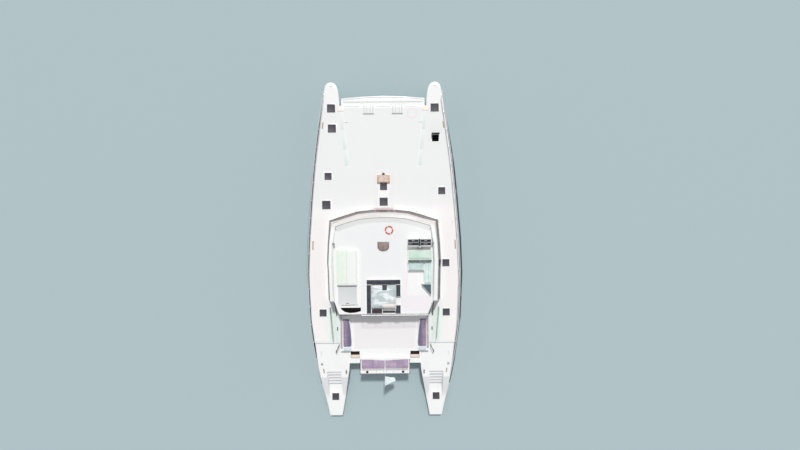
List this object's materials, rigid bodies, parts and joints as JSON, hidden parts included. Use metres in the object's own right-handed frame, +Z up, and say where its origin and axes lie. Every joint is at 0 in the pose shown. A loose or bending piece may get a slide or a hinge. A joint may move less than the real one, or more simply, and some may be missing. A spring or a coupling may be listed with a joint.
{
  "type": "motor yacht",
  "caption": "Twin-hulled motor yacht with a glazed deckhouse, open upper steering deck, guard rails, opening deck hatches, stern steps, propellers and linked rudders.",
  "frame": {"origin": "on the centreline, amidships, at the waterline", "axes": "+Y towards the bows, +X to starboard, +Z up"},
  "size_m": [14.24, 30.28, 7.03],
  "materials": {
    "gelcoat": "glossy white gelcoat over moulded fibreglass",
    "hatch_acrylic": "smoky acrylic lid",
    "hatch_cover": "pale grey moulded cover",
    "rail_steel": "polished stainless tube",
    "bronze": "cast propeller bronze",
    "windlass_cover": "tan cover",
    "mint_vinyl": "pale mint marine vinyl",
    "charcoal_fabric": "charcoal woven outdoor fabric",
    "mauve_fabric": "faded mauve outdoor fabric",
    "table_cover": "pale grey wrinkled cover",
    "brown_pad": "grey-brown pad",
    "lifebuoy_foam": "orange-red covered foam",
    "flag_cloth": "thin pale cloth",
    "timber": "oiled timber",
    "tinted_glass": "dark tinted glass",
    "pale_glass": "pale green clear glass",
    "wheel_rim": "black moulded rim"
  },
  "bodies": {
    "yacht": {"hull_port": "gelcoat", "hull_starboard": "gelcoat", "bridge_deck": "gelcoat", "bow_beam": "gelcoat", "guard_rail_port": "rail_steel", "guard_rail_starboard": "rail_steel", "windlass": "windlass_cover", "deckhouse": "gelcoat", "wrap_glass": "tinted_glass", "upper_deck": "gelcoat", "bulwark": "gelcoat", "upper_rail": "rail_steel", "stair": "gelcoat", "saloon_fixed_pane": "tinted_glass", "saloon_sofa": "mauve_fabric", "saloon_counter": "timber", "helm_console": "gelcoat", "helm_seat_moulding": "gelcoat", "helm_seat_cushion": "mint_vinyl", "helm_settee_cushion": "mint_vinyl", "lounge_cushion": "charcoal_fabric", "lounge_corner_cushion": "charcoal_fabric", "lounge_table": "table_cover", "sunpad_cushion": "mint_vinyl", "roof_pad": "brown_pad", "lifebuoy": "lifebuoy_foam", "side_bench_port": "gelcoat", "side_bench_starboard": "gelcoat", "side_cushion_port": "mauve_fabric", "side_cushion_starboard": "mauve_fabric", "side_screen_port": "pale_glass", "side_screen_starboard": "pale_glass", "aft_bench": "gelcoat", "aft_cushion_port": "mauve_fabric", "aft_cushion_starboard": "mauve_fabric", "ensign_staff": "rail_steel", "ensign": "flag_cloth"},
    "saloon_door": {"saloon_door": "tinted_glass"},
    "helm_wheel": {"helm_wheel": "wheel_rim"},
    "stair_hatch": {"stair_hatch": "hatch_cover"},
    "folding_rail_port": {"folding_rail_port": "rail_steel"},
    "folding_rail_starboard": {"folding_rail_starboard": "rail_steel"},
    "propeller_port": {"propeller_port": "bronze"},
    "propeller_starboard": {"propeller_starboard": "bronze"},
    "rudder_port": {"rudder_port": "gelcoat"},
    "rudder_starboard": {"rudder_starboard": "gelcoat"},
    "hatch_bow_port": {"hatch_bow_port": "hatch_acrylic"},
    "hatch_bow_starboard": {"hatch_bow_starboard": "hatch_acrylic"},
    "hatch_fore_port": {"hatch_fore_port": "hatch_acrylic"},
    "hatch_fore_starboard": {"hatch_fore_starboard": "hatch_acrylic"},
    "hatch_cabin_port": {"hatch_cabin_port": "hatch_acrylic"},
    "hatch_cabin_starboard": {"hatch_cabin_starboard": "hatch_acrylic"},
    "hatch_mid_port": {"hatch_mid_port": "hatch_acrylic"},
    "hatch_mid_starboard": {"hatch_mid_starboard": "hatch_acrylic"},
    "hatch_side_port": {"hatch_side_port": "hatch_acrylic"},
    "hatch_side_starboard": {"hatch_side_starboard": "hatch_acrylic"},
    "hatch_stern_port": {"hatch_stern_port": "hatch_acrylic"},
    "hatch_stern_starboard": {"hatch_stern_starboard": "hatch_acrylic"},
    "hatch_centre_fore": {"hatch_centre_fore": "hatch_acrylic"},
    "hatch_centre_aft": {"hatch_centre_aft": "hatch_acrylic"}
  },
  "joints": [
    {"name": "propeller_port_spin", "type": "hinge", "parent": "yacht", "child": "propeller_port", "pos_m": [-4.65, -12.05, -1.05], "axis": [0, 1, 0], "continuous": true},
    {"name": "propeller_starboard_spin", "type": "hinge", "parent": "yacht", "child": "propeller_starboard", "pos_m": [4.65, -12.05, -1.05], "axis": [0, 1, 0], "continuous": true},
    {"name": "rudder_port_turn", "type": "hinge", "parent": "yacht", "child": "rudder_port", "pos_m": [-4.65, -12.9, -0.6], "axis": [0, 0, 1], "range_deg": [-35, 35]},
    {"name": "rudder_starboard_turn", "type": "hinge", "parent": "yacht", "child": "rudder_starboard", "pos_m": [4.65, -12.9, -0.6], "axis": [0, 0, 1], "range_deg": [-35, 35]},
    {"name": "helm_wheel_turn", "type": "hinge", "parent": "yacht", "child": "helm_wheel", "pos_m": [3.1, 0.48, 5.26], "axis": [0, 1, 0], "range_deg": [-630, 630]},
    {"name": "saloon_door_slide", "type": "slide", "parent": "yacht", "child": "saloon_door", "axis": [1, 0, 0], "range_m": [0, 1.5]},
    {"name": "stair_hatch_lift", "type": "hinge", "parent": "yacht", "child": "stair_hatch", "pos_m": [-3.085, -2.77, 4.5603], "axis": [-1, 0, 0], "range_deg": [0, 90]},
    {"name": "folding_rail_port_lift", "type": "hinge", "parent": "yacht", "child": "folding_rail_port", "pos_m": [-1.29, 13.12, 2.36], "axis": [-1, 0, 0], "range_deg": [0, 90]},
    {"name": "folding_rail_starboard_lift", "type": "hinge", "parent": "yacht", "child": "folding_rail_starboard", "pos_m": [1.29, 13.12, 2.36], "axis": [-1, 0, 0], "range_deg": [0, 90]},
    {"name": "hatch_bow_port_lift", "type": "hinge", "parent": "yacht", "child": "hatch_bow_port", "pos_m": [-4.63, 13.26, 2.3553], "axis": [-1, 0, 0], "range_deg": [0, 95]},
    {"name": "hatch_bow_starboard_lift", "type": "hinge", "parent": "yacht", "child": "hatch_bow_starboard", "pos_m": [4.63, 13.26, 2.3553], "axis": [-1, 0, 0], "range_deg": [0, 95]},
    {"name": "hatch_fore_port_lift", "type": "hinge", "parent": "yacht", "child": "hatch_fore_port", "pos_m": [-4.57, 11.46, 2.3553], "axis": [-1, 0, 0], "range_deg": [0, 95]},
    {"name": "hatch_fore_starboard_lift", "type": "hinge", "parent": "yacht", "child": "hatch_fore_starboard", "pos_m": [4.67, 10.53, 2.3553], "axis": [-1, 0, 0], "range_deg": [-90, 5]},
    {"name": "hatch_cabin_port_lift", "type": "hinge", "parent": "yacht", "child": "hatch_cabin_port", "pos_m": [-4.95, 7.14, 2.3553], "axis": [-1, 0, 0], "range_deg": [0, 95]},
    {"name": "hatch_cabin_starboard_lift", "type": "hinge", "parent": "yacht", "child": "hatch_cabin_starboard", "pos_m": [5.2, 5.77, 2.3553], "axis": [-1, 0, 0], "range_deg": [0, 95]},
    {"name": "hatch_mid_port_lift", "type": "hinge", "parent": "yacht", "child": "hatch_mid_port", "pos_m": [-5.13, 4.64, 2.3553], "axis": [-1, 0, 0], "range_deg": [0, 95]},
    {"name": "hatch_mid_starboard_lift", "type": "hinge", "parent": "yacht", "child": "hatch_mid_starboard", "pos_m": [5.505, -0.67, 2.3553], "axis": [-1, 0, 0], "range_deg": [0, 95]},
    {"name": "hatch_side_port_lift", "type": "hinge", "parent": "yacht", "child": "hatch_side_port", "pos_m": [-5.5, -5.07, 2.3553], "axis": [-1, 0, 0], "range_deg": [0, 95]},
    {"name": "hatch_side_starboard_lift", "type": "hinge", "parent": "yacht", "child": "hatch_side_starboard", "pos_m": [5.5, -5.07, 2.3553], "axis": [-1, 0, 0], "range_deg": [0, 95]},
    {"name": "hatch_stern_port_lift", "type": "hinge", "parent": "yacht", "child": "hatch_stern_port", "pos_m": [-4.63, -13.04, 0.8053], "axis": [-1, 0, 0], "range_deg": [0, 95]},
    {"name": "hatch_stern_starboard_lift", "type": "hinge", "parent": "yacht", "child": "hatch_stern_starboard", "pos_m": [4.63, -13.04, 0.8053], "axis": [-1, 0, 0], "range_deg": [0, 95]},
    {"name": "hatch_centre_fore_lift", "type": "hinge", "parent": "yacht", "child": "hatch_centre_fore", "pos_m": [0, 6.18, 2.3553], "axis": [-1, 0, 0], "range_deg": [0, 95]},
    {"name": "hatch_centre_aft_lift", "type": "hinge", "parent": "yacht", "child": "hatch_centre_aft", "pos_m": [0, 4.88, 2.3553], "axis": [-1, 0, 0], "range_deg": [0, 95]}
  ],
  "couplings": [
    {"joint": "rudder_starboard_turn", "follows": "rudder_port_turn", "ratio": 1},
    {"joint": "helm_wheel_turn", "follows": "rudder_port_turn", "ratio": 18}
  ]
}
